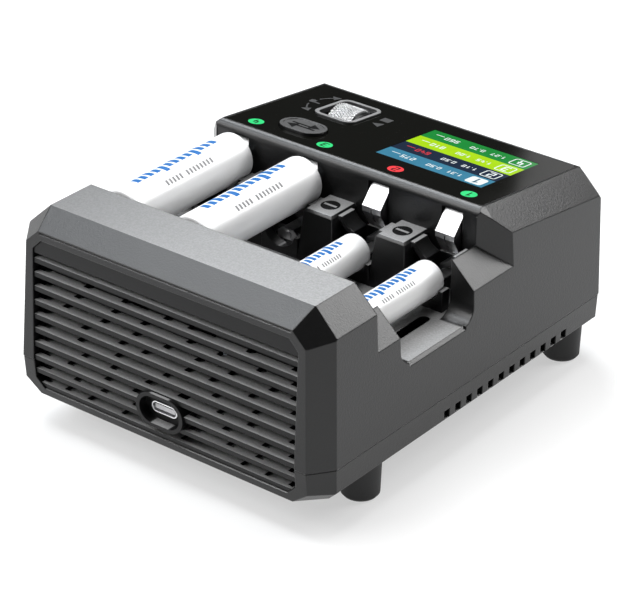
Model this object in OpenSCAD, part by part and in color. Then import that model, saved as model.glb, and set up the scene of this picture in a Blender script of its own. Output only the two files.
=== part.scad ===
// Four-bay desktop charger for AA and AAA cells.
// +Z up, origin in the middle of the footprint on the standing surface,
// -Y is the user's side with the display, +Y the rear with the grille.

/* [Case] */
// height of the feet below the case
foot_h = 11; // [9:0.5:12]
// wall thickness of the two moulded shells
wall = 2.2; // [2.0:0.1:2.4]
// open line of the seam between the shells
seam_gap = 0.25; // [0.15:0.05:0.35]
// radius of a foot where it meets the case
foot_r = 5.8; // [5.0:0.1:6.0]

/* [Grille] */
// width of one short grille opening
hole_w = 2.6; // [2.2:0.1:3.0]
// thickness of one louvre
louvre_t = 1.45; // [1.2:0.05:1.7]

/* [Vents] */
// width of one side vent
vent_w = 2.6; // [2.2:0.1:3.0]
// height of one side vent
vent_h = 2.8; // [2.4:0.1:3.0]

/* [Controls] */
// radius of the thumb wheel
wheel_r = 7.0; // [6.6:0.1:7.0]
// grooves round the thumb wheel
wheel_grooves = 30; // [20:2:34]
// height of the oval button above the panel
button_up = 0.8; // [0.7:0.1:1.6]

/* [Cells] */
// length over all of an AA cell
aa_len = 50.3; // [49.5:0.1:50.4]
// length over all of an AAA cell
aaa_len = 44.0; // [43.3:0.1:44.2]

/* [Hidden] */
big = 200;
seam_z = 10.7;
floor_z = 28;
dwall_y = -11;
rwall_y = 43.4;
tilt = atan(0.1226);
pitch = 25.2;
bays = [-37.8, -12.6, 12.6, 37.8];
hoods = [-25.2, 0, 25.2];
aa_z = 47.1;
aaa_z = 35.8;
aa_r = 7.25;
aaa_r = 5.25;
aa_y = -9.2;
aaa_y = -1.5;
wheel_x = 25.2;
wheel_v = -32.64;
wheel_w = -5.0;
button_v = -11.2;
edge_r = 2.2;
edge_y = dwall_y - edge_r;
edge_z = 55 + ((edge_y + 13.9) * sin(tilt) - edge_r) / cos(tilt);
screen_x = -18.8;
screen_v = -26.4;
light_v = -5.04;
// louvre tops below the first and the openings along them
// (middles on one side, mirrored; a negative entry marks the one in the middle)
louvre_z0 = 42.05;
louvre_step = 4.27;
rows = [[0, 28.3], [8.0, 18.5, 31.9], [0, 11.0, 22.5, 36.2], [7.6, 15.9, 29.4],
        [0, 17.2, 30.9], [18.9, 29.3], [21.0, 34.5], [22.4, 32.4], [27.2, 35.6]];
wide = [[11.6, 9.0], [0, 0], [0, 0], [0, 0], [0, 0], [5.8, 3.4], [10.2, 3.6], [10.0, 4.0], [10.6, 11.0]];
boss = [[47.5, 24], [47.5, -42]];

function unit(v) = v / norm(v);

// everything beyond a plane through p whose outward normal is n, plane moved by off
module beyond(n, p, off = 0) {
  u = unit(n);
  translate(p + u * off) rotate([0, acos(u[2]), atan2(u[1], u[0])])
    translate([-big, -big, 0]) cube([2 * big, 2 * big, big]);
}

module lift() { translate([0, 0, foot_h]) children(); }
module on_panel() { translate([0, -13.9, 55 + foot_h]) rotate([tilt, 0, 0]) children(); }

module rrect(w, h, r) {
  square([w - 2 * r, h], center = true);
  square([w, h - 2 * r], center = true);
  for (x = [-1, 1], y = [-1, 1]) translate([x * (w / 2 - r), y * (h / 2 - r)]) circle(r, $fn = 32);
}

module racetrack(w, h) {
  square([w - h, h], center = true);
  for (x = [-1, 1]) translate([x * (w - h) / 2, 0]) circle(h / 2, $fn = 40);
}

// extrusion along +Y of a shape drawn in X and Z, from y0 over len
module along_y(y0, len) {
  translate([0, y0 + len, 0]) rotate([90, 0, 0]) linear_extrude(len) children();
}
// extrusion along +X of a shape drawn in Y and Z
module along_x(x0, len) {
  translate([x0, 0, 0]) rotate([90, 0, 90]) linear_extrude(len) children();
}

// outer form of the upper shell, every plane moved by off
module upper_form(off, zlo, top_off = 0) {
  difference() {
    translate([-70, -80, zlo]) cube([140, 160, 70 - zlo]);
    beyond([0, 1, 0.0453], [0, 68.77, seam_z], off);
    beyond([0, -1, 0.0175], [0, -68.77, seam_z], off);
    beyond([0, 0, 1], [0, 0, 55.3], off);
    beyond([0, -0.1226, 1], [0, -13.9, 55], off + top_off);
    beyond([0, 4.7, 7.2], [0, 59.8, 55.3], off);
    beyond([0, -5.2, 6.1], [0, -61.9, 49.1], off);
    for (s = [-1, 1]) {
      beyond([s, 0, 0.0471], [s * 55, 0, seam_z], off);
      beyond([s * 0.804, 0.594, 0.062], [s * 55, 62.06, seam_z], off);
      beyond([s * 0.804, -0.594, 0.03], [s * 55, -62.1, seam_z], off);
      beyond([s * 7.1, 0, 7.5], [s * 45.8, 0, 55.3], off);
      beyond([s * 0.9726, -0.1229, 1], [s * 46.2, -13.9, 55], off);
      beyond([s * 0.559, 0.542, 0.629], [s * 45.7, 59.8, 55.3], off);
      beyond([s * 0.547, -0.626, 0.555], [s * 46.2, -61.9, 49.1], off);
    }
  }
}

module lower_form(off, zlo, zhi) {
  difference() {
    translate([-70, -80, zlo]) cube([140, 160, zhi - zlo]);
    beyond([0, 0, -1], [0, 0, 0], off);
    beyond([0, 1, -0.09], [0, 68.62, seam_z], off);
    beyond([0, -1, -0.08], [0, -68.62, seam_z], off);
    for (s = [-1, 1]) {
      beyond([s, 0, -0.027], [s * 54.85, 0, seam_z], off);
      beyond([s * 0.804, 0.594, -0.05], [s * 54.85, 61.95, seam_z], off);
      beyond([s * 0.804, -0.594, -0.05], [s * 54.85, -61.95, seam_z], off);
      beyond([s, 0, -1], [s * 54.65, 0, 3.3], off);
      beyond([s * 23.9, 21.98, -33.66], [s * 54.65, 61.8, 3.2], off);
      beyond([s * 23.9, -21.98, -33.66], [s * 54.65, -61.8, 3.2], off);
    }
  }
}

// outline of the grille opening in X and Z, grown by g
module grille_outline(g = 0) {
  w = 46 + g; lo = 2.1 - g; hi = 47.9 + g; c = 3.1;
  polygon([[-w + c, lo], [w - c, lo], [w, lo + c], [w, hi - c], [w - c, hi],
           [-w + c, hi], [-w, hi - c], [-w, lo + c]]);
}

// hood between two bays with its pocket on the -X side
module hood() {
  difference() {
    along_y(dwall_y - 0.4, 13.2) polygon([[-6.2, 27.4], [6.2, 27.4], [5.0, 43.3], [4.3, 44],
                                     [-4.3, 44], [-5.0, 43.3]]);
    beyond([0, 16, 1.5], [0, 1.8, 28]);
    beyond([0, 1, 1], [0, 0, 43.7]);
    translate([-8, -10.2, 30]) cube([5.4, 6.6, 12.4]);
  }
}

// wings that carry the plain end of an AA cell and cradle for that of an AAA cell
module bay_rests() {
  along_y(-8.9, 6.0) intersection() {
    difference() {
      translate([0, aa_z]) circle(9.0, $fn = 64);
      translate([0, aa_z]) circle(7.4, $fn = 64);
    }
    for (s = [-1, 1]) translate([s * 5.3 - 3.1, 37]) square([6.2, 6.5]);
  }
  along_y(-1.6, 3.4) difference() {
    translate([-6.5, 27.4]) square([13, 6.9]);
    translate([0, aaa_z]) circle(5.6, $fn = 48);
  }
}

module rear_rest_cut() {
  along_y(36, 7.4) {
    translate([0, aaa_z]) circle(5.6, $fn = 48);
    translate([-5.6, aaa_z]) square([11.2, 20]);
    translate([0, aa_z]) circle(7.65, $fn = 48);
  }
}

module finger_cut() {
  along_x(44.5, 20) {
    translate([0.24, floor_z + 5]) square([33.36, 40]);
    translate([5.24, floor_z]) square([23.36, 10]);
    for (y = [5.24, 28.6]) translate([y, floor_z + 5]) circle(5, $fn = 48);
  }
}

// space over the sloped ledge beside the bays, grown by g
module ledge_space(g) {
  k = g / sqrt(2);
  intersection() {
    translate([0, 0, 30 - g]) linear_extrude(40 + g)
      polygon([[45.9 - k, -10.6 - k], [64 - k, -29 - k], [64, 43.3], [45.9 - k, 43.3]]);
    beyond([7.2, 0, 7.7], [46.2, 0, 44.2], -g);
  }
}

module upper_case() color([0.24, 0.24, 0.25]) {
  lift() difference() {
    union() {
      difference() {
        upper_form(0, seam_z + seam_gap / 2);
        difference() {
          upper_form(-wall, -20, -1);
          translate([-80, dwall_y - 2, floor_z - 2.2]) cube([160, rwall_y - dwall_y + 4.2, 60]);
          for (s = [0, 1]) mirror([s, 0, 0]) ledge_space(wall);
        }
        translate([-46, dwall_y, floor_z]) cube([92, rwall_y - dwall_y, 60]);
        for (s = [0, 1]) mirror([s, 0, 0]) {
          ledge_space(0);
          finger_cut();
          intersection() {
            translate([50, 4, 26]) cube([8, 25.8, 6]);
            beyond([1, 0, 1.1], [53.2, 0, floor_z]);
          }
        }
        // rounded edge of the display block along the bays
        difference() {
          translate([-60, edge_y - edge_r * sin(tilt), edge_z]) cube([120, 4, 6]);
          translate([-61, edge_y, edge_z]) rotate([0, 90, 0]) cylinder(r = edge_r, h = 122, $fn = 64);
        }
      }
      for (x = hoods) translate([x, 0, 0]) hood();
      for (x = bays) translate([x, 0, 0]) bay_rests();
      difference() {
        translate([-46.3, 37.6, 27.4]) cube([92.6, 6, 16.4]);
        for (x = bays) translate([x, 0, 0]) rear_rest_cut();
      }
      for (s = [-1, 1]) {
        translate([s * boss[0][0], boss[0][1], 12.9]) cylinder(r = 3.5, h = 13.5, $fn = 32);
        translate([s * boss[1][0], boss[1][1], 12.9]) cylinder(r = 3.5, h = 31.6, $fn = 32);
        translate([s * 21.4 - 1, 45, 14]) cube([2, 14.2, 39.5]);
      }
      translate([0, 0, -foot_h]) on_panel() for (x = [-41.6, 41.6], v = [-3.6, -43.4])
        translate([x, v, -7]) cylinder(r = 2.0, h = 4.2, $fn = 24);
    }
    // dark line under the rear chamfer
    translate([-43.6, 66.45, 49.75]) cube([87.2, 5, 0.6]);
    along_y(60, 12) grille_outline(0.12);
    for (x = bays) {
      translate([x - 3.6, dwall_y - 4.5, 38.9]) cube([7.2, 5.0, 13.9]);
      translate([x - 2.3, dwall_y - 3, 33.2]) cube([4.6, 3.5, 1.3]);
      translate([x - 1.6, rwall_y - 0.6, 48.6]) cube([3.2, 4, 1.2]);
      for (d = [-4.8, 4.8]) translate([x + d, 0, floor_z - 3]) {
        translate([-1.6, 7.6, 0]) cube([3.2, 22.8, 5]);
        for (y = [7.6, 30.4]) translate([0, y, 0]) cylinder(r = 1.6, h = 5, $fn = 32);
      }
    }
    for (s = [-1, 1], b = boss) translate([s * b[0], b[1], 11]) cylinder(r = 1.45, h = 13, $fn = 32);
    translate([0, 0, -foot_h]) on_panel() {
      translate([0, -23.975, -1.5]) linear_extrude(8) rrect(91.0, 47.75, 1.2);
      translate([screen_x, screen_v, -8]) linear_extrude(10) square([37.4, 30], center = true);
      translate([wheel_x, wheel_v, -8]) linear_extrude(10) rrect(15.2, 17.9, 3.2);
      translate([wheel_x, button_v, -8]) linear_extrude(10) racetrack(15.6, 10.7);
      for (x = bays) translate([x, light_v, -8]) cylinder(r = 2.5, h = 10, $fn = 40);
    }
  }
}

module lower_case() color([0.23, 0.23, 0.24]) {
  lift() difference() {
    union() {
      difference() {
        lower_form(0, 0, seam_z - seam_gap / 2);
        lower_form(-wall, -1, 20);
      }
      // lip inside the seam
      difference() {
        intersection() {
          difference() {
            lower_form(-wall - 0.2, 6, 13.2);
            lower_form(-wall - 1.4, 5, 14);
          }
          translate([-60, -80, 0]) cube([120, 137, 20]);
        }
      }
      // ties between the lip and the wall
      for (s = [-1, 1], y = [-50, -25, 0, 33, 50]) translate([s * 51.9 - 1.2, y - 2, 6.5]) cube([2.4, 4, 3.6]);
      for (x = [-30, 0, 30]) translate([x - 2, -67.2, 6.5]) cube([4, 2.4, 3.6]);
      for (s = [-1, 1], b = boss) translate([s * b[0], b[1], 0.1]) cylinder(r = 3.9, h = 12.8, $fn = 32);
      for (s = [-1, 1], y = [-26, 8, 48]) translate([s * 38, y, 1]) cylinder(r = 2.6, h = 6.6, $fn = 24);
    }
    along_y(60, 12) grille_outline(0.12);
    for (s = [0, 1]) mirror([s, 0, 0]) for (i = [0:11])
      translate([50, 12.5 - i * 5.19 - vent_w / 2, 4.7 - vent_h / 2]) cube([8, vent_w, vent_h]);
    for (s = [-1, 1], b = boss) translate([s * b[0], b[1], -1]) {
      cylinder(r = 3.1, h = 4.2, $fn = 32);
      cylinder(r = 1.7, h = 20, $fn = 32);
    }
    for (x = [-45.5, 45.5], y = [39, -58.5]) translate([x, y, -1]) cylinder(r = 2.5, h = 6, $fn = 32);
  }
}

module one_foot() {
  translate([0, 0, 0.8]) cylinder(r1 = foot_r - 0.35, r2 = foot_r, h = foot_h - 0.8, $fn = 48);
  cylinder(r1 = foot_r - 1.0, r2 = foot_r - 0.35, h = 0.8, $fn = 48);
  translate([0, 0, foot_h - 0.2]) cylinder(r = 2.45, h = 2.0, $fn = 32);
}
module foot_1() color([0.12, 0.12, 0.13]) translate([-45.5, 39, 0]) one_foot();
module foot_2() color([0.12, 0.12, 0.13]) translate([45.5, 39, 0]) one_foot();
module foot_3() color([0.12, 0.12, 0.13]) translate([-45.5, -58.5, 0]) one_foot();
module foot_4() color([0.12, 0.12, 0.13]) translate([45.5, -58.5, 0]) one_foot();

// front face of the grille follows the draft of the rear face, 0.45 mm inside it
module grille_front() {
  beyond([0, 1, 0.0453], [0, 68.77, seam_z], -0.45);
  beyond([0, 1, -0.09], [0, 68.62, seam_z], -0.45);
}

module rear_grille() color([0.2, 0.2, 0.21]) {
  lift() difference() {
    union() {
      difference() {
        union() {
          along_y(62.3, 1.6) difference() {
            grille_outline(1.0);
            translate([-60, -3]) square([120, 5.2]);
          }
          difference() {
            along_y(62.3, 8) grille_outline(0);
            for (i = [0:9]) {
              top = i == 0 ? 43.6 : louvre_z0 - louvre_step * (i - 1) - louvre_t;
              bot = louvre_z0 - louvre_step * i;
              translate([-47, 63.9, bot]) cube([94, 8, top - bot]);
            }
          }
        }
        grille_front();
        // openings through the louvres and the plate behind them
        for (i = [1:9]) {
          zt = louvre_z0 - louvre_step * i;
          gap = louvre_step - louvre_t;
          z0 = i == 9 ? zt - 1.15 : zt - louvre_t - 0.01;
          h = (i == 9 ? 1.15 : louvre_t + 0.01) + gap - 0.25;
          yf = i > 7 ? 66.4 : 65.0 + 0.19 * i;
          for (s = [-1, 1]) {
            for (x = rows[i - 1]) translate([s * x - hole_w / 2, 60, z0]) cube([hole_w, yf - 60, h]);
            if (wide[i - 1][1] > 0)
              translate([s * wide[i - 1][0] - wide[i - 1][1] / 2, 60, z0]) cube([wide[i - 1][1], yf - 60, h]);
            translate([s * 44.1 - 1.9, 60, z0]) cube([3.8, yf - 60, h]);
          }
        }
      }
      // raised ring round the inlet
      translate([0, 0, seam_z + 0.1]) along_y(62.3, 6.7) racetrack(16.5, 10.2);
    }
    translate([0, 0, seam_z + 0.1]) {
      along_y(66.1, 4) racetrack(14, 8);
      along_y(60, 8) racetrack(9.3, 3.6);
      along_y(61.5, 3.2) square([12, 6], center = true);
    }
  }
}

module usb_socket() color([0.8, 0.81, 0.82]) lift() translate([0, 0, seam_z + 0.1]) difference() {
  along_y(59.4, 7.3) racetrack(8.94, 3.26);
  along_y(60.2, 7) racetrack(8.34, 2.66);
}
module usb_tongue() color([0.1, 0.1, 0.1]) lift() translate([0, 0, seam_z + 0.1])
  along_y(60.2, 6.1) square([7.0, 1.3], center = true);

module display_panel() color([0.03, 0.03, 0.03]) on_panel() translate([0, 0, -1.5]) linear_extrude(1.4)
  difference() {
    translate([0, -23.975]) rrect(90.7, 47.45, 1.1);
    translate([screen_x, screen_v]) square([36.7, 29.3], center = true);
    translate([wheel_x, wheel_v]) rrect(14.7, 17.4, 3.2);
    translate([wheel_x, button_v]) racetrack(15.5, 10.6);
    for (x = bays) translate([x, light_v]) circle(2.4, $fn = 40);
  }

module screen_module() color([0.16, 0.4, 0.55]) on_panel() translate([screen_x, screen_v, 0]) {
  translate([0, 0, -4.5]) linear_extrude(4.3) square([36.5, 29.1], center = true);
  translate([0, 0, -6.9]) linear_extrude(2.6) square([41, 35.4], center = true);
}

module light_window(x) on_panel() translate([x, light_v, -2.9]) cylinder(r = 2.35, h = 2.8, $fn = 40);
module light_window_1() color([0.35, 0.9, 0.55]) light_window(bays[0]);
module light_window_2() color([0.9, 0.3, 0.3]) light_window(bays[1]);
module light_window_3() color([0.35, 0.9, 0.55]) light_window(bays[2]);
module light_window_4() color([0.35, 0.9, 0.55]) light_window(bays[3]);

module wheel_bezel() color([0.6, 0.62, 0.64]) on_panel() translate([wheel_x, wheel_v, -1.2])
  linear_extrude(1.6) difference() {
    rrect(14.6, 17.3, 3.2);
    rrect(12.2, 15.0, 2.2);
  }

module thumb_wheel() color([0.85, 0.86, 0.87]) on_panel() translate([wheel_x - 4.7, wheel_v, wheel_w])
  rotate([0, 90, 0]) difference() {
    cylinder(r = wheel_r, h = 8.3, $fn = 72);
    translate([0, 0, -1]) cylinder(r = 1.06, h = 12, $fn = 32);
    for (i = [0:wheel_grooves - 1]) rotate([0, 0, i * 360 / wheel_grooves])
      translate([wheel_r + 0.12, 0, -1]) cylinder(r = 0.5, h = 12, $fn = 16);
  }

module wheel_axle() color([0.7, 0.7, 0.72]) on_panel() translate([wheel_x - 6.5, wheel_v, wheel_w])
  rotate([0, 90, 0]) cylinder(r = 1.0, h = 13, $fn = 32);

module wheel_cradle() color([0.15, 0.15, 0.16]) on_panel() translate([wheel_x, wheel_v, 0]) difference() {
  union() {
    for (x = [-6.5, 5.3]) translate([x, -3.4, -13.4]) cube([1.2, 6.8, 11]);
    translate([-6.5, -3.4, -13.4]) cube([13, 6.8, 0.95]);
  }
  translate([-8, 0, wheel_w]) rotate([0, 90, 0]) cylinder(r = 1.0, h = 16, $fn = 32);
}

module oval_button() color([0.3, 0.3, 0.31]) on_panel() translate([wheel_x, button_v, 0]) difference() {
  union() {
    translate([0, 0, -4.6]) linear_extrude(4.6 + button_up) racetrack(14.9, 10.0);
    translate([0, 0, -4.6]) linear_extrude(0.9) racetrack(17.2, 12.3);
  }
  translate([0, 0, button_up - 0.2]) linear_extrude(2) racetrack(13.1, 8.2);
}

module display_board() color([0.05, 0.25, 0.12]) on_panel() translate([0, 0, -8.6]) linear_extrude(1.6)
  difference() {
    translate([0, -24.1]) square([87, 43.4], center = true);
    translate([wheel_x, wheel_v]) square([16, 18], center = true);
  }

module button_switch() color([0.2, 0.2, 0.2]) on_panel() translate([wheel_x, button_v, -7]) {
  translate([-2.2, -2.2, 0]) cube([4.4, 4.4, 0.9]);
  cylinder(r = 1.2, h = 1.3, $fn = 24);
}

module wheel_switch() color([0.2, 0.2, 0.2]) on_panel() translate([wheel_x, wheel_v, -18]) {
  translate([-3, -3, 0]) cube([6, 6, 3.0]);
  cylinder(r = 1.6, h = 3.7, $fn = 24);
}

module switch_strap() color([0.65, 0.66, 0.68]) on_panel() translate([wheel_x, wheel_v, 0]) {
  translate([-5, -12, -19]) cube([10, 24, 1]);
  for (v = [-12, 11]) translate([-5, v, -19]) cube([10, 1, 10.4]);
}

module main_board() color([0.05, 0.25, 0.12]) lift() translate([0, 0, 7.6]) linear_extrude(1.5)
  difference() {
    polygon([[-43.4, -34], [43.4, -34], [43.4, 54], [12, 54], [12, 61.4], [-12, 61.4], [-12, 54], [-43.4, 54]]);
    for (s = [-1, 1], b = [boss[0]]) translate([s * b[0], b[1]]) circle(4.6, $fn = 32);
  }

module heat_sink() color([0.75, 0.76, 0.78]) lift() {
  translate([-26, 12, 9.1]) cube([52, 24, 2]);
  for (i = [0:8]) translate([-26 + i * 6.35, 12, 11.0]) cube([1.2, 24, 11]);
}

module buzzer() color([0.08, 0.08, 0.08]) lift() translate([33, -18, 9.1]) difference() {
  cylinder(r = 6, h = 7, $fn = 48);
  translate([0, 0, 5.5]) cylinder(r = 1, h = 3, $fn = 24);
}

// folded leaf on the display wall: front plate, nose, return and two side gussets
module aa_leaf() {
  difference() {
    along_x(-3.2, 6.4) polygon([[-12.5, 51.8], [-7.8, 46.4], [-7.8, 44.7], [-10.8, 39.6], [-12.4, 39.3],
      [-12.4, 39.8], [-11.1, 40.1], [-8.3, 44.8], [-8.3, 46.2], [-12.9, 51.5]]);
    translate([-0.175, -13, 41.2]) cube([0.35, 7, 4.6]);
  }
  for (x = [-3.2, 2.8]) along_x(x, 0.4)
    polygon([[-12.5, 51.5], [-8.0, 46.3], [-8.0, 44.8], [-10.9, 39.9], [-11.2, 39.9], [-12.5, 46]]);
}
module aa_contact_1() color([0.85, 0.86, 0.88]) lift() translate([bays[0], 0, 0]) aa_leaf();
module aa_contact_2() color([0.85, 0.86, 0.88]) lift() translate([bays[1], 0, 0]) aa_leaf();
module aa_contact_3() color([0.85, 0.86, 0.88]) lift() translate([bays[2], -1.7, 0]) aa_leaf();
module aa_contact_4() color([0.85, 0.86, 0.88]) lift() translate([bays[3], -1.7, 0]) aa_leaf();

// low folded leaf for the plain end of an AAA cell
module aaa_leaf() {
  translate([-1.9, -14.5, 33.6]) cube([3.8, 12.4, 0.5]);
  along_y(-2.6, 0.5) polygon([[-1.9, 34.1], [1.9, 34.1], [3.6, 32.8], [3.6, 30.6], [-3.6, 30.6], [-3.6, 32.8]]);
  translate([0, -2.3, 32.2]) rotate([-90, 0, 0]) cylinder(r = 1.2, h = 0.5, $fn = 24);
}
module aaa_contact_1() color([0.85, 0.86, 0.88]) lift() translate([bays[0], 0, 0]) aaa_leaf();
module aaa_contact_2() color([0.85, 0.86, 0.88]) lift() translate([bays[1], 0, 0]) aaa_leaf();
module aaa_contact_3() color([0.85, 0.86, 0.88]) lift() translate([bays[2], 0, 0]) aaa_leaf();
module aaa_contact_4() color([0.85, 0.86, 0.88]) lift() translate([bays[3], 0, 0]) aaa_leaf();

// plate on the rear wall of a bay with a boss for an AA cell and a tail through the wall
module plus_plate() {
  translate([-3.4, rwall_y - 0.6, 32]) cube([6.8, 0.55, 18.6]);
  translate([0, rwall_y - 2.0, aa_z]) rotate([-90, 0, 0]) cylinder(r = 2.6, h = 1.6, $fn = 32);
  translate([-1.3, rwall_y - 0.3, 48.9]) cube([2.6, 5, 0.6]);
}
module positive_contact_1() color([0.85, 0.86, 0.88]) lift() translate([bays[0], 0, 0]) plus_plate();
module positive_contact_2() color([0.85, 0.86, 0.88]) lift() translate([bays[1], 0, 0]) plus_plate();
module positive_contact_3() color([0.85, 0.86, 0.88]) lift() translate([bays[2], 0, 0]) plus_plate();
module positive_contact_4() color([0.85, 0.86, 0.88]) lift() translate([bays[3], 0, 0]) plus_plate();

// cell along +Y from its plain end, with rounded shoulders and the cap on the far end
module cell(r, len, cap_r, cap_h) {
  top = len - cap_h;
  rotate([-90, 0, 0]) rotate_extrude($fn = 72) polygon([[0, 0], [r - 1.1, 0], [r - 0.55, 0.15], [r - 0.15, 0.55],
    [r, 1.1], [r, top - 0.9], [r - 0.12, top - 0.45], [r - 0.45, top - 0.12], [r - 0.9, top], [cap_r, top],
    [cap_r, len - 0.3], [cap_r - 0.3, len], [0, len]]);
}
module cell_bay_1() color([0.93, 0.93, 0.93]) lift() translate([bays[0], aaa_y, aaa_z]) cell(aaa_r, aaa_len, 1.8, 0.9);
module cell_bay_2() color([0.93, 0.93, 0.93]) lift() translate([bays[1], aaa_y, aaa_z]) cell(aaa_r, aaa_len, 1.8, 0.9);
module cell_bay_3() color([0.93, 0.93, 0.93]) lift() translate([bays[2], aa_y, aa_z]) cell(aa_r, aa_len, 2.6, 1.1);
module cell_bay_4() color([0.93, 0.93, 0.93]) lift() translate([bays[3], aa_y, aa_z]) cell(aa_r, aa_len, 2.6, 1.1);

module fan_frame() color([0.1, 0.1, 0.1]) lift() translate([0, 48.5, 32.5]) difference() {
  along_y(0, 10) rrect(40, 40, 2.5);
  along_y(-1, 9.8) circle(18.8, $fn = 72);
  along_y(-1, 12) difference() {
    circle(18.8, $fn = 72);
    circle(9, $fn = 48);
    for (a = [45:90:315]) rotate(a) translate([0, -1.2]) square([20, 2.4]);
  }
}

module fan_rotor() color([0.14, 0.14, 0.15]) lift() translate([0, 48.5, 32.5]) {
  along_y(0.4, 7.2) circle(8.6, $fn = 48);
  for (i = [0:6]) rotate([0, i * 360 / 7, 0]) translate([7.8, 4.2, 0]) rotate([38, 0, 0])
    translate([0, -0.6, -4.2]) cube([10.2, 1.2, 8.4]);
}

module case_screws() color([0.6, 0.6, 0.62]) lift() for (s = [-1, 1], b = boss)
  translate([s * b[0], b[1], 0]) difference() {
    union() {
      translate([0, 0, 0.8]) cylinder(r = 2.7, h = 2.4, $fn = 32);
      translate([0, 0, 3.1]) cylinder(r = 1.4, h = 17, $fn = 24);
    }
    for (a = [0, 90]) rotate([0, 0, a]) translate([-1.6, -0.35, 0]) cube([3.2, 0.7, 2.0]);
  }

upper_case();
lower_case();
rear_grille();
display_panel();
screen_module();
light_window_1();
light_window_2();
light_window_3();
light_window_4();
wheel_bezel();
thumb_wheel();
wheel_axle();
wheel_cradle();
oval_button();
usb_socket();
usb_tongue();
main_board();
display_board();
button_switch();
wheel_switch();
switch_strap();
aa_contact_1();
aa_contact_2();
aa_contact_3();
aa_contact_4();
aaa_contact_1();
aaa_contact_2();
aaa_contact_3();
aaa_contact_4();
positive_contact_1();
positive_contact_2();
positive_contact_3();
positive_contact_4();
cell_bay_1();
cell_bay_2();
cell_bay_3();
cell_bay_4();
fan_frame();
fan_rotor();
heat_sink();
buzzer();
case_screws();
foot_1();
foot_2();
foot_3();
foot_4();
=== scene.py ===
import math
import bmesh
import bpy
from mathutils import Matrix, Vector


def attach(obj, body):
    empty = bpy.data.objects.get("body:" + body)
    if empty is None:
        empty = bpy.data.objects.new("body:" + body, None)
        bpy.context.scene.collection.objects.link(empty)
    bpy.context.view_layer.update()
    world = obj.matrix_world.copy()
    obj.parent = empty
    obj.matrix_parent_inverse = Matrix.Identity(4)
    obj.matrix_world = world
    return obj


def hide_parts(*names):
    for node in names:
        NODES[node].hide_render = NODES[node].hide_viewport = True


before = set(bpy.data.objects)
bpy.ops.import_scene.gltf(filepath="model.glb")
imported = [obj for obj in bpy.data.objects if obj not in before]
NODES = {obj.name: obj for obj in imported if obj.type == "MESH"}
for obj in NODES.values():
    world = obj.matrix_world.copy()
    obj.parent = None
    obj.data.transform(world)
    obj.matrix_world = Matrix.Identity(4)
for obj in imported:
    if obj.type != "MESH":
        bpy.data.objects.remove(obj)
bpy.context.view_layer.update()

MM = 0.001
FOOT = 11.0
TILT = math.atan(0.1226)
BAYS = (-37.8, -12.6, 12.6, 37.8)
HOODS = (-25.2, 0.0, 25.2)


# ---------------------------------------------------------------- materials
def new_mat(name):
    m = bpy.data.materials.new(name)
    m.use_nodes = True
    nt = m.node_tree
    return m, nt, nt.nodes["Principled BSDF"]


def node(nt, kind, **vals):
    n = nt.nodes.new(kind)
    for k, v in vals.items():
        if k in n.inputs:
            n.inputs[k].default_value = v
        else:
            setattr(n, k, v)
    return n


def coords(nt, scale=(1, 1, 1)):
    tc = node(nt, "ShaderNodeTexCoord")
    mp = node(nt, "ShaderNodeMapping")
    mp.inputs["Scale"].default_value = scale
    nt.links.new(tc.outputs["Object"], mp.inputs["Vector"])
    return mp.outputs["Vector"]


def noise(nt, vec, scale, detail=3.0, rough=0.5):
    n = node(nt, "ShaderNodeTexNoise", Scale=scale, Detail=detail, Roughness=rough)
    nt.links.new(vec, n.inputs["Vector"])
    return n.outputs["Fac"]


def ramp(nt, fac, stops):
    r = node(nt, "ShaderNodeValToRGB")
    r.color_ramp.elements[0].position = stops[0][0]
    r.color_ramp.elements[0].color = stops[0][1]
    r.color_ramp.elements[1].position = stops[-1][0]
    r.color_ramp.elements[1].color = stops[-1][1]
    for p, c in stops[1:-1]:
        e = r.color_ramp.elements.new(p)
        e.color = c
    nt.links.new(fac, r.inputs["Fac"])
    return r.outputs["Color"]


def span(nt, fac, lo, hi, a=0.0, b=1.0):
    m = node(nt, "ShaderNodeMapRange")
    m.inputs["From Min"].default_value = a
    m.inputs["From Max"].default_value = b
    m.inputs["To Min"].default_value = lo
    m.inputs["To Max"].default_value = hi
    nt.links.new(fac, m.inputs["Value"])
    return m.outputs["Result"]


def grey(v, tint=(1.0, 1.0, 1.0)):
    return (v * tint[0], v * tint[1], v * tint[2], 1.0)


def bumps(nt, bsdf, layers, edge=0.0):
    """layers of (height socket, strength, distance in metres); edge is the radius of softened edges"""
    normal = None
    if edge:
        bv = node(nt, "ShaderNodeBevel", samples=6, Radius=edge)
        normal = bv.outputs["Normal"]
    for h, strength, dist in layers:
        b = node(nt, "ShaderNodeBump", Strength=strength, Distance=dist)
        nt.links.new(h, b.inputs["Height"])
        if normal is not None:
            nt.links.new(normal, b.inputs["Normal"])
        normal = b.outputs["Normal"]
    if normal is not None:
        nt.links.new(normal, bsdf.inputs["Normal"])


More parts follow.
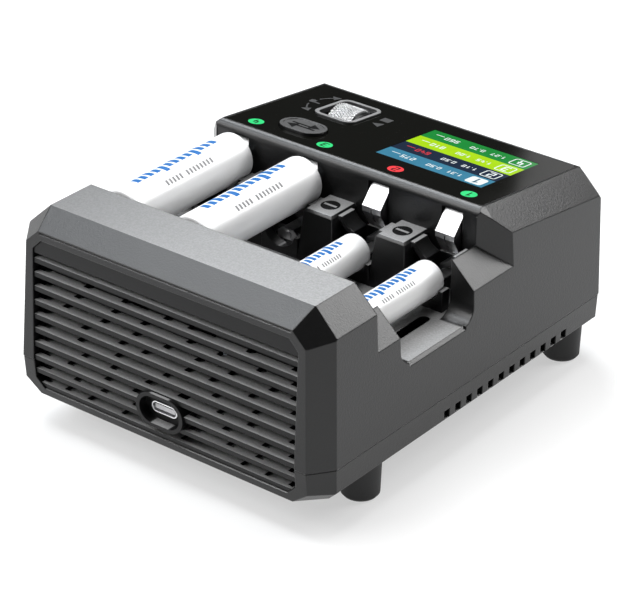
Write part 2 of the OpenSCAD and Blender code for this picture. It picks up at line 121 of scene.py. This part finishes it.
def moulded(name, lo, hi, rough_lo, rough_hi, grain=2600.0, depth=0.00002, strength=0.35, tint=(1, 1, 1.02),
            edge=0.0, spec=0.5, ior=1.5, painted_top_highlight=0.0, above=0.994, painted_shade_along_x=0.0):
    """spark-eroded moulded plastic: fine grain, a little mottling; faces that look up get a paler colour as a painted
    highlight, which can be painted darker along X as painted shade
    """
    m, nt, b = new_mat(name)
    v = coords(nt)
    big = noise(nt, v, 60.0, 4.0, 0.6)
    fine = noise(nt, v, grain, 3.0, 0.6)
    speck = noise(nt, v, grain * 0.42, 2.0, 0.5)
    mixf = node(nt, "ShaderNodeMath", operation="ADD")
    nt.links.new(span(nt, big, 0.0, 0.6), mixf.inputs[0])
    nt.links.new(span(nt, speck, 0.0, 0.4), mixf.inputs[1])
    base = ramp(nt, mixf.outputs[0], [(0.1, grey(lo, tint)), (0.9, grey(hi, tint))])
    # painted highlight: faces whose normal points up (z above the threshold) get a paler colour in place of the base,
    # standing for the light that falls on them from above
    if painted_top_highlight:
        tcn = node(nt, "ShaderNodeTexCoord")
        sep = node(nt, "ShaderNodeSeparateXYZ")
        nt.links.new(tcn.outputs["Normal"], sep.inputs[0])
        mx = node(nt, "ShaderNodeMix", data_type="RGBA")
        nt.links.new(span(nt, sep.outputs["Z"], 0.0, 1.0, above, 1.0), mx.inputs["Factor"])
        nt.links.new(base, mx.inputs["A"])
        highlight_colour = ramp(nt, fine, [(0.3, grey(painted_top_highlight * 0.82)), (0.7, grey(painted_top_highlight * 1.18))])
        # painted shade: the paler colour is multiplied down along X, a little darker in the middle and darkest towards
        # +X, standing for uneven light
        if painted_shade_along_x:
            sx = node(nt, "ShaderNodeSeparateXYZ")
            nt.links.new(v, sx.inputs[0])
            shade_along_x = node(nt, "ShaderNodeMix", data_type="RGBA", blend_type="MULTIPLY")
            shade_along_x.inputs["Factor"].default_value = 1.0
            nt.links.new(highlight_colour, shade_along_x.inputs["A"])
            nt.links.new(ramp(nt, span(nt, sx.outputs["X"], 0.0, 1.0, -0.05, 0.05),
                              [(0.0, grey(1.0)), (0.5, grey(0.86)), (1.0, grey(1.0 - painted_shade_along_x))]), shade_along_x.inputs["B"])
            highlight_colour = shade_along_x.outputs["Result"]
        nt.links.new(highlight_colour, mx.inputs["B"])
        base = mx.outputs["Result"]
    nt.links.new(base, b.inputs["Base Color"])
    nt.links.new(span(nt, big, rough_lo, rough_hi, 0.0, 1.0), b.inputs["Roughness"])
    b.inputs["IOR"].default_value = ior
    b.inputs["Specular IOR Level"].default_value = spec
    bumps(nt, b, [(fine, strength, depth), (speck, strength * 0.25, depth)], edge)
    return m


def glossy(name, color, rough=0.08, coat=0.0, edge=0.0, dust=0.02, spec=0.5):
    """polished plastic with very faint waviness and a trace of dust"""
    m, nt, b = new_mat(name)
    v = coords(nt)
    wave = noise(nt, v, 35.0, 2.0, 0.5)
    fleck = noise(nt, v, 900.0, 2.0, 0.7)
    c0 = (color[0], color[1], color[2], 1.0)
    c1 = (min(1, color[0] + dust), min(1, color[1] + dust), min(1, color[2] + dust), 1.0)
    nt.links.new(ramp(nt, fleck, [(0.55, c0), (0.95, c1)]), b.inputs["Base Color"])
    nt.links.new(span(nt, wave, rough, rough + 0.05, 0.35, 0.65), b.inputs["Roughness"])
    b.inputs["Specular IOR Level"].default_value = spec
    if coat:
        b.inputs["Coat Weight"].default_value = coat
        b.inputs["Coat Roughness"].default_value = 0.05
    bumps(nt, b, [(wave, 0.02, 0.0002)], edge)
    return m


def metal(name, color, rough=0.2, lines=(1, 1, 1), scale=900.0, strength=0.08, edge=0.0, spread=0.12):
    """metal with directional fine lines; lines scales the coordinates along X, Y, Z"""
    m, nt, b = new_mat(name)
    v = coords(nt, lines)
    f = noise(nt, v, scale, 4.0, 0.65)
    w = noise(nt, coords(nt), 120.0, 3.0, 0.5)
    b.inputs["Metallic"].default_value = 1.0
    c = color
    nt.links.new(ramp(nt, f, [(0.3, (c[0] * 0.9, c[1] * 0.9, c[2] * 0.9, 1)), (0.7, (c[0], c[1], c[2], 1))]),
                 b.inputs["Base Color"])
    mixf = node(nt, "ShaderNodeMath", operation="MULTIPLY")
    nt.links.new(span(nt, f, 0.85, 1.15, 0.3, 0.7), mixf.inputs[0])
    nt.links.new(span(nt, w, rough, rough + spread, 0.3, 0.7), mixf.inputs[1])
    nt.links.new(mixf.outputs[0], b.inputs["Roughness"])
    bumps(nt, b, [(f, strength, 0.00003)], edge)
    return m


def lit(name, color, strength, rough=0.15, grain=500.0, var=0.12):
    """lit window or screen field: glowing colour under a smooth surface, slightly uneven"""
    m, nt, b = new_mat(name)
    v = coords(nt)
    f = noise(nt, v, grain, 2.0, 0.5)
    c = color
    col = ramp(nt, f, [(0.3, (c[0] * (1 - var), c[1] * (1 - var), c[2] * (1 - var), 1)),
                       (0.7, (c[0], c[1], c[2], 1))])
    nt.links.new(col, b.inputs["Emission Color"])
    nt.links.new(ramp(nt, f, [(0.3, (c[0] * 0.3, c[1] * 0.3, c[2] * 0.3, 1)), (0.7, (c[0] * 0.35, c[1] * 0.35, c[2] * 0.35, 1))]),
                 b.inputs["Base Color"])
    b.inputs["Emission Strength"].default_value = strength
    nt.links.new(span(nt, f, rough, rough + 0.05), b.inputs["Roughness"])
    return m


# the pale colour these materials give to faces that look up is a painted highlight; on the case it is also painted
# darker towards +X as painted shade
M_CASE = moulded("case_plastic_look", 0.0035, 0.0055, 0.27, 0.31, grain=1800.0, depth=0.00008, strength=0.6, edge=0.0005, spec=0.42, painted_top_highlight=0.232, painted_shade_along_x=0.46)
M_GRILLE = moulded("grille_plastic_look", 0.0040, 0.0060, 0.33, 0.38, grain=2900.0, edge=0.00005, spec=0.24, painted_top_highlight=0.28)
M_PANEL = glossy("gloss_black_look", (0.0030, 0.0031, 0.0024), 0.06, dust=0.002)
M_SCREEN = glossy("screen_glass_look", (0.01, 0.012, 0.014), 0.10)
M_GREEN = lit("light_green_look", (0.04, 0.70, 0.22), 0.68)
M_RED = lit("light_red_look", (0.80, 0.05, 0.06), 0.85)
M_BEZEL = moulded("satin_silver_look", 0.030, 0.040, 0.26, 0.34, grain=5000.0, depth=0.000006, strength=0.2, edge=0.0003, painted_top_highlight=0.24, above=0.97)
M_WHEEL = metal("wheel_metal_look", (0.72, 0.72, 0.72), 0.26, (1, 1, 1), 500.0, 0.01)
M_STEEL = metal("steel_look", (0.62, 0.63, 0.65), 0.28, (1, 1, 10), 900.0, 0.08)
M_BUTTON = moulded("button_plastic_look", 0.004, 0.006, 0.30, 0.38, grain=4000.0, depth=0.00001, strength=0.25, edge=0.0003, painted_top_highlight=0.085, above=0.97)
M_CONTACT = metal("contact_metal_look", (0.54, 0.54, 0.545), 0.34, (0.3, 1, 1), 260.0, 0.002, spread=0.03)
M_SHELL = metal("inlet_shell_look", (0.85, 0.85, 0.86), 0.3, (1, 1, 1), 400.0, 0.01, spread=0.05)
M_TONGUE = moulded("inlet_tongue_look", 0.50, 0.58, 0.35, 0.45, grain=2500.0, depth=0.000004, strength=0.1)
M_BOARD = moulded("board_green_look", 0.012, 0.03, 0.3, 0.4, grain=900.0, tint=(0.35, 1.6, 0.6))
M_BLACK = moulded("black_plastic_look", 0.008, 0.013, 0.4, 0.5, edge=0.0002)
M_FINS = metal("alu_fins_look", (0.75, 0.76, 0.78), 0.3, (10, 1, 1), 800.0, 0.1)
M_RUBBER = moulded("foot_rubber_look", 0.010, 0.015, 0.55, 0.68, grain=1500.0, depth=0.00003, strength=0.3)


def cell_mat():
    m, nt, b = new_mat("cell_wrap_look")
    v = coords(nt)
    f = noise(nt, v, 700.0, 2.0, 0.5)
    w = noise(nt, v, 90.0, 3.0, 0.5)
    nt.links.new(ramp(nt, w, [(0.3, (0.73, 0.73, 0.73, 1)), (0.7, (0.77, 0.77, 0.77, 1))]), b.inputs["Base Color"])
    nt.links.new(span(nt, f, 0.30, 0.36), b.inputs["Roughness"])
    b.inputs["Coat Weight"].default_value = 0.3
    b.inputs["Coat Roughness"].default_value = 0.2
    # painted light: a faint white glow that brightens the whole sleeve
    b.inputs["Emission Color"].default_value = (1.0, 1.0, 1.0, 1.0)
    b.inputs["Emission Strength"].default_value = 0.01
    bumps(nt, b, [(w, 0.05, 0.0001)])
    return m


M_CELL = cell_mat()
M_PRINT_W = glossy("print_white_look", (0.75, 0.76, 0.76), 0.3, dust=0.0)
M_PRINT_D = glossy("print_dark_look", (0.003, 0.003, 0.003), 0.7, dust=0.002, spec=0.08)
M_ICON = moulded("print_grey_look", 0.019, 0.027, 0.5, 0.6, grain=3000.0, depth=0.000002, strength=0.1)

LOOK = {"upper_case": M_CASE, "lower_case": M_CASE, "rear_grille": M_GRILLE, "display_panel": M_PANEL,
        "screen_module": M_SCREEN, "light_window_1": M_GREEN, "light_window_2": M_RED, "light_window_3": M_GREEN,
        "light_window_4": M_GREEN, "wheel_bezel": M_BEZEL, "thumb_wheel": M_WHEEL, "wheel_axle": M_STEEL,
        "wheel_cradle": M_BLACK, "oval_button": M_BUTTON, "usb_socket": M_SHELL, "usb_tongue": M_TONGUE,
        "main_board": M_BOARD, "display_board": M_BOARD, "button_switch": M_BLACK, "wheel_switch": M_BLACK,
        "switch_strap": M_STEEL, "fan_frame": M_BLACK, "fan_rotor": M_BLACK, "heat_sink": M_FINS,
        "buzzer": M_BLACK, "case_screws": M_STEEL}
for n in NODES:
    if "contact" in n:
        LOOK[n] = M_CONTACT
    if n.startswith("cell_bay"):
        LOOK[n] = M_CELL
    if n.startswith("foot_"):
        LOOK[n] = M_RUBBER
for n, o in NODES.items():
    o.data.materials.clear()
    o.data.materials.append(LOOK[n])


# softened rims
for n, width in (("wheel_bezel", 0.00045), ("oval_button", 0.00025)):
    bev = NODES[n].modifiers.new("soft_rim", "BEVEL")
    bev.width, bev.segments, bev.limit_method, bev.angle_limit = width, 3, "ANGLE", math.radians(60)

# ---------------------------------------------------------------- geometry helpers
def add_mesh(name, verts, faces, mat, body, smooth=False):
    me = bpy.data.meshes.new(name)
    me.from_pydata(verts, [], faces)
    me.update()
    bm = bmesh.new()
    bm.from_mesh(me)
    bmesh.ops.recalc_face_normals(bm, faces=bm.faces)
    bm.to_mesh(me)
    bm.free()
    me.materials.append(mat)
    if smooth:
        me.polygons.foreach_set("use_smooth", [True] * len(me.polygons))
    o = bpy.data.objects.new(name, me)
    bpy.context.scene.collection.objects.link(o)
    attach(o, body)
    return o


def panel_pt(x, v, w):
    """point on the display panel's plane: x across, v up the slope, w above it, in mm"""
    return Vector((x * MM, (-13.9 + v * math.cos(TILT) - w * math.sin(TILT)) * MM,
                   (55 + FOOT + v * math.sin(TILT) + w * math.cos(TILT)) * MM))


def flat_pt(z):
    return lambda x, y, w: Vector((x * MM, y * MM, (z + FOOT + w) * MM))


class Flat:
    """collects thin raised shapes drawn in a plane given by place(x, y, w)"""

    def __init__(self, place, w0, w1):
        self.place, self.w0, self.w1, self.v, self.f = place, w0, w1, [], []

    def poly(self, pts):
        n, k = len(pts), len(self.v)
        self.v += [self.place(x, y, self.w0) for x, y in pts] + [self.place(x, y, self.w1) for x, y in pts]
        self.f += [tuple(range(k + n, k + 2 * n)), tuple(range(k + n - 1, k - 1, -1))]
        self.f += [(k + i, k + (i + 1) % n, k + n + (i + 1) % n, k + n + i) for i in range(n)]

    def disc(self, x, y, r, n=40):
        self.poly([(x + r * math.cos(2 * math.pi * i / n), y + r * math.sin(2 * math.pi * i / n)) for i in range(n)])

    def ring(self, outline, inner):
        n, k = len(outline), len(self.v)
        for w in (self.w0, self.w1):
            self.v += [self.place(x, y, w) for x, y in outline] + [self.place(x, y, w) for x, y in inner]
        for i in range(n):
            j = (i + 1) % n
            o0, i0, o1, i1 = k, k + n, k + 2 * n, k + 3 * n
            self.f += [(o1 + i, o1 + j, i1 + j, i1 + i), (o0 + i, i0 + i, i0 + j, o0 + j),
                       (o0 + i, o0 + j, o1 + j, o1 + i), (i0 + i, i1 + i, i1 + j, i0 + j)]

    def stroke(self, pts, wd):
        """a ribbon of width wd along pts with square ends"""
        h = wd / 2
        left, right = [], []
        for i, p in enumerate(pts):
            p = Vector(p)
            d0 = (p - Vector(pts[i - 1])).normalized() if i else None
            d1 = (Vector(pts[i + 1]) - p).normalized() if i < len(pts) - 1 else None
            if d0 is None:
                d, s = d1, 1.0
                p = p - d * h
            elif d1 is None:
                d, s = d0, 1.0
                p = p + d * h
            else:
                d = (d0 + d1)
                if d.length < 1e-6:
                    d = d0
                d.normalize()
                s = 1.0 / max(0.35, d.dot(d1))
            nrm = Vector((-d.y, d.x)) * h * s
            left.append(tuple(p + nrm))
            right.append(tuple(p - nrm))
        self.poly(left + right[::-1])

    def make(self, name, mat, body, slot=None):
        return add_mesh(name, self.v, self.f, mat, body)


def oval(cx, cy, w, h, n=24):
    """racetrack outline"""
    r, c = h / 2, (w - h) / 2
    pts = [(cx + c + r * math.sin(math.pi * i / n), cy - r * math.cos(math.pi * i / n)) for i in range(n + 1)]
    pts += [(cx - c - r * math.sin(math.pi * i / n), cy + r * math.cos(math.pi * i / n)) for i in range(n + 1)]
    return pts


def rrect(cx, cy, w, h, r, n=8):
    pts = []
    for sx, sy, a0 in ((1, -1, -90), (1, 1, 0), (-1, 1, 90), (-1, -1, 180)):
        for i in range(n + 1):
            a = math.radians(a0 + 90 * i / n)
            pts.append((cx + sx * (w / 2 - r) + r * math.cos(a), cy + sy * (h / 2 - r) + r * math.sin(a)))
    return pts


GLYPH = {  # plain figures on a 2 x 4 grid, as strokes
    "0": [[(0, 0), (2, 0), (2, 4), (0, 4), (0, 0)]],
    "1": [[(0.3, 3.2), (1.2, 4), (1.2, 0)]],
    "2": [[(0, 4), (2, 4), (2, 2), (0, 2), (0, 0), (2, 0)]],
    "3": [[(0, 4), (2, 4), (2, 0), (0, 0)], [(0.4, 2), (2, 2)]],
    "4": [[(0, 4), (0, 1.6), (2, 1.6)], [(1.5, 3), (1.5, 0)]],
    "5": [[(2, 4), (0, 4), (0, 2.2), (2, 2.2), (2, 0), (0, 0)]],
    "6": [[(2, 4), (0, 4), (0, 0), (2, 0), (2, 2.1), (0, 2.1)]],
    "7": [[(0, 4), (2, 4), (1, 0)]],
    "8": [[(0, 0), (2, 0), (2, 4), (0, 4), (0, 0)], [(0, 2), (2, 2)]],
    "9": [[(0, 0), (2, 0), (2, 4), (0, 4), (0, 2), (2, 2)]],
}


def figures(flat, text, x, y, h, wd, gap=0.55):
    """writes plain figures with their lower left corner at x, y; h is their height"""
    k = h / 4
    for ch in text:
        if ch == ".":
            flat.poly([(x, y), (x + wd * 1.1, y), (x + wd * 1.1, y + wd * 1.1), (x, y + wd * 1.1)])
            x += wd * 1.1 + gap
            continue
        if ch == " ":
            x += 2 * k
            continue
        for st in GLYPH[ch]:
            flat.stroke([(x + a * k, y + b * k) for a, b in st], wd)
        x += 2 * k + wd + gap
    return x


# ---------------------------------------------------------------- light windows
for i, x in enumerate(BAYS):
    f = Flat(panel_pt, -0.11, -0.07)
    g = 2.6
    figures(f, str(i + 1), x - g / 4 - (0.15 if i == 0 else 0), -5.04 - g / 2, g, 0.42)
    f.make("light_figure_%d" % (i + 1), M_PRINT_D, "charger", "gloss_black")

# ---------------------------------------------------------------- screen
SX0, SX1 = -18.8 - 18.25, -18.8 + 18.25
SV0, SV1 = -26.4 - 14.55, -26.4 + 14.55
bands = [("blue", (0.045, 0.20, 0.31)), ("navy", (0.012, 0.022, 0.045)), ("lime", (0.36, 0.62, 0.008)),
         ("green", (0.010, 0.22, 0.035))]
step = (SV1 - SV0) / 4
for i, (nm, c) in enumerate(bands):
    top = SV1 - i * step
    f = Flat(panel_pt, -0.21, -0.175)
    f.poly([(SX0, top - step), (SX1, top - step), (SX1, top), (SX0, top)])
    f.make("screen_band_" + nm, lit("screen_%s_look" % nm, c, 0.68, 0.08, 300.0, 0.05), "charger", "screen")
M_FIG = lit("screen_figure_look", (0.75, 0.8, 0.8), 0.75, 0.2)
M_FIG_D = lit("screen_figure_dark_look", (0.02, 0.12, 0.2), 0.5, 0.2)
M_FIG_R = lit("screen_figure_red_look", (0.55, 0.03, 0.04), 0.9, 0.2)
white, dark, red = Flat(panel_pt, -0.176, -0.155), Flat(panel_pt, -0.16, -0.14), Flat(panel_pt, -0.176, -0.155)
reads = [("1.31", "0.50", "275"), ("1.18", "0.50", "640"), ("1.45", "1.00", "810"), ("1.27", "0.70", "960")]
for i, (a, b_, c) in enumerate(reads):
    mid = SV1 - (i + 0.5) * step
    bx = SX0 + 4.0
    if i == 0:
        white.poly(rrect(bx, mid, 5.4, 5.2, 0.9))
        figures(dark, "1", bx - 0.9, mid - 1.6, 3.2, 0.55)
    else:
        white.ring(rrect(bx, mid, 5.4, 5.2, 0.9), rrect(bx, mid, 4.7, 4.5, 0.6))
        figures(white, str(i + 1), bx - 0.8, mid - 1.5, 3.0, 0.5)
    tgt = white
    figures(tgt, a, SX0 + 9.2, mid - 0.7, 1.6, 0.27, 0.42)
    figures(tgt, b_, SX0 + 16.4, mid - 0.7, 1.6, 0.27, 0.42)
    x_end = figures(red if i == 1 else white, c, SX0 + 25.6, mid - 1.0, 1.9, 0.30, 0.45)
    (red if i == 1 else white).stroke([(x_end + 0.4, mid - 0.75), (x_end + 3.0, mid - 0.75)], 0.3)
white.make("screen_figures", M_FIG, "charger", "screen")
dark.make("screen_figure_in_box", M_FIG_D, "charger", "screen")
red.make("screen_figures_red", M_FIG_R, "charger", "screen")

# ---------------------------------------------------------------- icons beside the wheel and on the button
ic = Flat(panel_pt, -0.101, -0.085)


def arrow(flat, tip, d, size):
    d = Vector(d).normalized()
    n = Vector((-d.y, d.x))
    t = Vector(tip)
    flat.poly([tuple(t), tuple(t - d * size + n * size * 0.62), tuple(t - d * size - n * size * 0.62)])


# turned arrow with two heads and a plain pointing hand between them on the +X side of the wheel
cx, cy, r = 31.0, -32.9, 7.4
for a0, a1, tip in ((20, 52, 1), (-20, -52, -1)):
    arc = [(cx + r * math.cos(math.radians(a0 + (a1 - a0) * i / 6)), cy + 1.14 * r * math.sin(math.radians(a0 + (a1 - a0) * i / 6)))
           for i in range(7)]
    ic.stroke(arc, 0.45)
    arrow(ic, (arc[-1][0] - 1.6, arc[-1][1] + tip * 1.7), (-0.75, tip * 0.66), 2.6)
ic.poly(rrect(38.5, -32.9, 2.0, 2.4, 0.7, 5))
ic.poly(rrect(36.7, -32.2, 2.4, 0.75, 0.35, 4))
# a play triangle and a stop square on the -X side
ic.poly([(12.0, -29.4), (15.2, -31.2), (12.0, -33.0)])
ic.poly([(12.0, -34.6), (15.2, -34.6), (15.2, -37.7), (12.0, -37.7)])
ic.make("panel_marks", M_ICON, "charger", "gloss_black")

bt = Flat(panel_pt, 0.598, 0.625)
for sg in (1, -1):
    y0 = -11.2 + sg * 0.8
    bt.stroke([(25.2 - sg * 4.1, y0), (25.2 + sg * 1.8, y0)], 0.85)
    arrow(bt, (25.2 + sg * 5.0, y0 + sg * 0.45), (sg, 0), 3.3)
bt.make("button_mark", M_PRINT_D, "oval_button", "gloss_black")

# ---------------------------------------------------------------- minus marks on the hoods
dk, lt = Flat(flat_pt(44.0), -0.002, 0.03), Flat(flat_pt(44.0), 0.03, 0.05)
for x in HOODS:
    dk.disc(x + 0.2, -5.8, 2.85, 48)
    lt.poly([(x + 0.2 - 2.15, -5.8 - 0.45), (x + 0.2 + 2.15, -5.8 - 0.45), (x + 0.2 + 2.15, -5.8 + 0.45), (x + 0.2 - 2.15, -5.8 + 0.45)])
dk.make("hood_discs", M_PRINT_D, "charger", "case_plastic")
lt.make("hood_minus_marks", M_BEZEL, "charger", "case_plastic")

# ---------------------------------------------------------------- cells: metal ends
def turned(name, prof, centre, mat, body, n=64):
    """surface of revolution about an axis along Y; prof is (y, r) pairs in mm"""
    verts, faces = [], []
    for y, r in prof:
        for i in range(n):
            a = 2 * math.pi * i / n
            verts.append(((centre[0] + r * math.cos(a)) * MM, y * MM, (centre[1] + FOOT + r * math.sin(a)) * MM))
    for j in range(len(prof) - 1):
        for i in range(n):
            k = (i + 1) % n
            faces.append((j * n + i, j * n + k, (j + 1) * n + k, (j + 1) * n + i))
    faces.append(tuple(range(n)))
    faces.append(tuple(range((len(prof) - 1) * n, len(prof) * n)))
    return add_mesh(name, verts, faces, mat, body, smooth=False)


for i, x in enumerate(BAYS):
    aa = i > 1
    r, z, y0, y1 = (7.25, 47.1, -9.2, -9.2 + 50.3) if aa else (5.25, 35.8, -1.5, -1.5 + 44.0)
    cap_r, cap_h = (2.6, 1.1) if aa else (1.8, 0.9)
    turned("cell_plain_end_%d" % (i + 1), [(y0 + 0.01, r - 1.7), (y0 - 0.04, r - 1.75), (y0 - 0.04, r - 2.1), (y0 - 0.015, r - 2.2)],
           (x, z), M_STEEL, "charger")
    turned("cell_cap_%d" % (i + 1), [(y1 - cap_h + 0.0, cap_r + 0.75), (y1 - cap_h + 0.05, cap_r + 0.75), (y1 - cap_h + 0.05, cap_r + 0.03),
           (y1 - 0.3, cap_r + 0.03), (y1 + 0.02, cap_r - 0.28)], (x, z), M_STEEL, "charger")

class Sleeve:
    """thin curved fields on a cell's sleeve; s is the arc in mm from the top line towards -X, y the place along it"""

    def __init__(self, x, z, r):
        self.x, self.z, self.r, self.v, self.f = x, z, r, [], []

    def field(self, s0, s1, y0, y1, raise_mm=0.025, n=5):
        base = len(self.v)
        for rr in (self.r - 0.01, self.r + raise_mm):
            for y in (y0, y1):
                for i in range(n):
                    a = (s0 + (s1 - s0) * i / (n - 1)) / self.r
                    self.v.append(((self.x - rr * math.sin(a)) * MM, y * MM, (self.z + FOOT + rr * math.cos(a)) * MM))
        k = 2 * n
        q = lambda *ids: self.f.append(tuple(base + i for i in ids))
        for i in range(n - 1):
            q(i, i + 1, n + i + 1, n + i)
            q(k + i, k + n + i, k + n + i + 1, k + i + 1)
            q(i, k + i, k + i + 1, i + 1)
            q(n + i, n + i + 1, k + n + i + 1, k + n + i)
        for i in (0, n - 1):
            q(i, n + i, k + n + i, k + i)


M_BLUE = glossy("cell_print_blue_look", (0.002, 0.10, 0.32), 0.5, dust=0.003, spec=0.2)
M_GREY = glossy("cell_print_grey_look", (0.22, 0.22, 0.225), 0.5, dust=0.005, spec=0.2)
for i, x in enumerate(BAYS):
    aa = i > 1
    r, z = (7.25, 47.1) if aa else (5.25, 35.8)
    k = 1.0 if aa else 0.72
    y = -1.0 if aa else 6.0
    big, small = Sleeve(x, z, r), Sleeve(x, z, r)
    for j in range(13):
        tall = 1.5 if j % 4 == 2 else 0.0
        low = 1.2 if j % 5 == 3 else 0.0
        s0, s1 = (-2.9, 0.3) if aa else (-1.6, 0.9)
        big.field(s0 - k * tall, s1 + k * low, y, y + k * 1.8)
        y += k * 2.7
    y = 6.4 if aa else 10.4
    for j in range(14):
        if j != 8:
            small.field(k * 4.0, k * 5.7, y, y + k * 0.75)
        y += k * 1.45
    add_mesh("cell_print_blue_%d" % (i + 1), big.v, big.f, M_BLUE, "charger")
    add_mesh("cell_print_grey_%d" % (i + 1), small.v, small.f, M_GREY, "charger")

# ---------------------------------------------------------------- thumb wheel with slanted knurling
WHEEL_W, WHEEL_R, WHEEL_X0, WHEEL_X1 = -5.0, 7.0, 20.5, 28.8


def knurled_wheel():
    teeth, per, rows = 40, 6, 26
    n = teeth * per
    slant = -0.885
    c = panel_pt(0, -32.64, WHEEL_W)
    ey = Vector((0, math.cos(TILT), math.sin(TILT)))
    ez = Vector((0, -math.sin(TILT), math.cos(TILT)))
    verts, faces = [], []
    L = WHEEL_X1 - WHEEL_X0

    def loop(x, radius_fn):
        k = len(verts)
        for i in range(n):
            a = 2 * math.pi * i / n
            q = c + (ey * math.cos(a) + ez * math.sin(a)) * radius_fn(a) * MM
            verts.append((x * MM, q.y, q.z))
        return k

    rings = [loop(WHEEL_X0, lambda a: 1.06), loop(WHEEL_X0, lambda a: 4.9), loop(WHEEL_X0 + 0.5, lambda a: 5.1),
             loop(WHEEL_X0 + 0.5, lambda a: 5.7), loop(WHEEL_X0, lambda a: 5.9), loop(WHEEL_X0, lambda a: 6.45)]
    for j in range(rows):
        t = j / (rows - 1)
        x = WHEEL_X0 + 0.05 + (L - 0.1) * t
        drop = 0.06 if j in (0, rows - 1) else 0.0

        def rad(a, t=t, drop=drop):
            p = (teeth * (a / (2 * math.pi)) + teeth * slant * t / (2 * math.pi)) % 1.0
            return WHEEL_R - drop - 0.8 * abs(2 * p - 1) ** 1.1
        rings.append(loop(x, rad))
    rings += [loop(WHEEL_X1, lambda a: 6.45), loop(WHEEL_X1, lambda a: 5.9), loop(WHEEL_X1 - 0.5, lambda a: 5.7),
              loop(WHEEL_X1 - 0.5, lambda a: 5.1), loop(WHEEL_X1, lambda a: 4.9), loop(WHEEL_X1, lambda a: 1.06)]
    rings.append(rings[0])
    for a_, b_ in zip(rings, rings[1:]):
        for i in range(n):
            k = (i + 1) % n
            faces.append((a_ + i, a_ + k, b_ + k, b_ + i))
    return add_mesh("knurled_wheel", verts, faces, M_WHEEL, "thumb_wheel")


wheel = knurled_wheel()
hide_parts("thumb_wheel")

# ---------------------------------------------------------------- floor, light, camera
bm = bmesh.new()
bmesh.ops.create_grid(bm, x_segments=8, y_segments=8, size=6.0)
me = bpy.data.meshes.new("studio_floor")
bm.to_mesh(me)
bm.free()
floor = bpy.data.objects.new("studio_floor", me)
bpy.context.scene.collection.objects.link(floor)
m, nt, b = new_mat("studio_floor_look")
fv = noise(nt, coords(nt), 3.0, 2.0, 0.5)
nt.links.new(ramp(nt, fv, [(0.3, (0.43, 0.43, 0.43, 1)), (0.7, (0.44, 0.44, 0.44, 1))]), b.inputs["Base Color"])
b.inputs["Roughness"].default_value = 0.7
b.inputs["Specular IOR Level"].default_value = 0.2
b.inputs["Emission Color"].default_value = (1, 1, 1, 1)
b.inputs["Emission Strength"].default_value = 0.53
floor.data.materials.append(m)


def area(name, direction, dist, sx, sy, radiance, target=(0.0, 0.0, 0.04), color=(1, 1, 1)):
    d = Vector(direction).normalized()
    L = bpy.data.lights.new(name, "AREA")
    L.shape = "RECTANGLE"
    L.size, L.size_y = sx, sy
    L.energy = radiance * math.pi * sx * sy
    L.color = color
    o = bpy.data.objects.new(name, L)
    o.location = Vector(target) + d * dist
    o.rotation_mode = "QUATERNION"
    o.rotation_quaternion = (-d).to_track_quat("-Z", "Y")
    bpy.context.scene.collection.objects.link(o)
    return o


COOL = (0.955, 1.0, 1.045)
area("key_front_right", (0.50, -0.44, 0.75), 0.95, 0.36, 0.36, 11.0, color=COOL)
area("key_front", (-0.38, -0.71, 0.60), 1.3, 0.62, 0.46, 10.3)
area("overhead", (0.15, 0.0, 1.0), 2.2, 1.5, 1.5, 6.4)
area("top_right", (0.5417, 0.16, 0.825), 1.3, 0.5, 0.5, 6.6, color=COOL)
area("rear_high", (0.45, 0.62, 0.66), 1.4, 0.9, 0.6, 6.0)
area("rear_low", (0.50, 0.82, 0.28), 1.4, 0.9, 0.35, 1.6)
area("panel_card", (0.35, -0.90, 0.24), 1.3, 0.30, 0.40, 0.5)
area("left_fill", (-0.95, -0.15, 0.42), 1.4, 1.0, 0.6, 0.3)

world = bpy.data.worlds.new("studio")
bpy.context.scene.world = world
world.use_nodes = True
wn = world.node_tree
bg = wn.nodes["Background"]
bg.inputs["Color"].default_value = (1, 1, 1, 1)
bg.inputs["Strength"].default_value = 0.03

az, el, roll = math.radians(218.062), math.radians(28.53), math.radians(0.385)
back = Vector((math.sin(az) * math.cos(el), -math.cos(az) * math.cos(el), math.sin(el)))
fwd = -back
right = fwd.cross(Vector((0, 0, 1))).normalized()
up = right.cross(fwd)
right2 = right * math.cos(roll) + up * math.sin(roll)
up2 = -right * math.sin(roll) + up * math.cos(roll)
cd = bpy.data.cameras.new("photo_camera")
cd.sensor_width = 36.0
cd.lens = 2782.7 / 617.0 * 36.0
cd.clip_start, cd.clip_end = 0.01, 50.0
cam = bpy.data.objects.new("photo_camera", cd)
bpy.context.scene.collection.objects.link(cam)
cam.matrix_world = Matrix((
    (right2.x, up2.x, back.x, -0.42697),
    (right2.y, up2.y, back.y, 0.54948),
    (right2.z, up2.z, back.z, 0.39396 + FOOT * MM),
    (0, 0, 0, 1)))
bpy.context.scene.camera = cam
bpy.context.scene.view_settings.view_transform = "Standard"
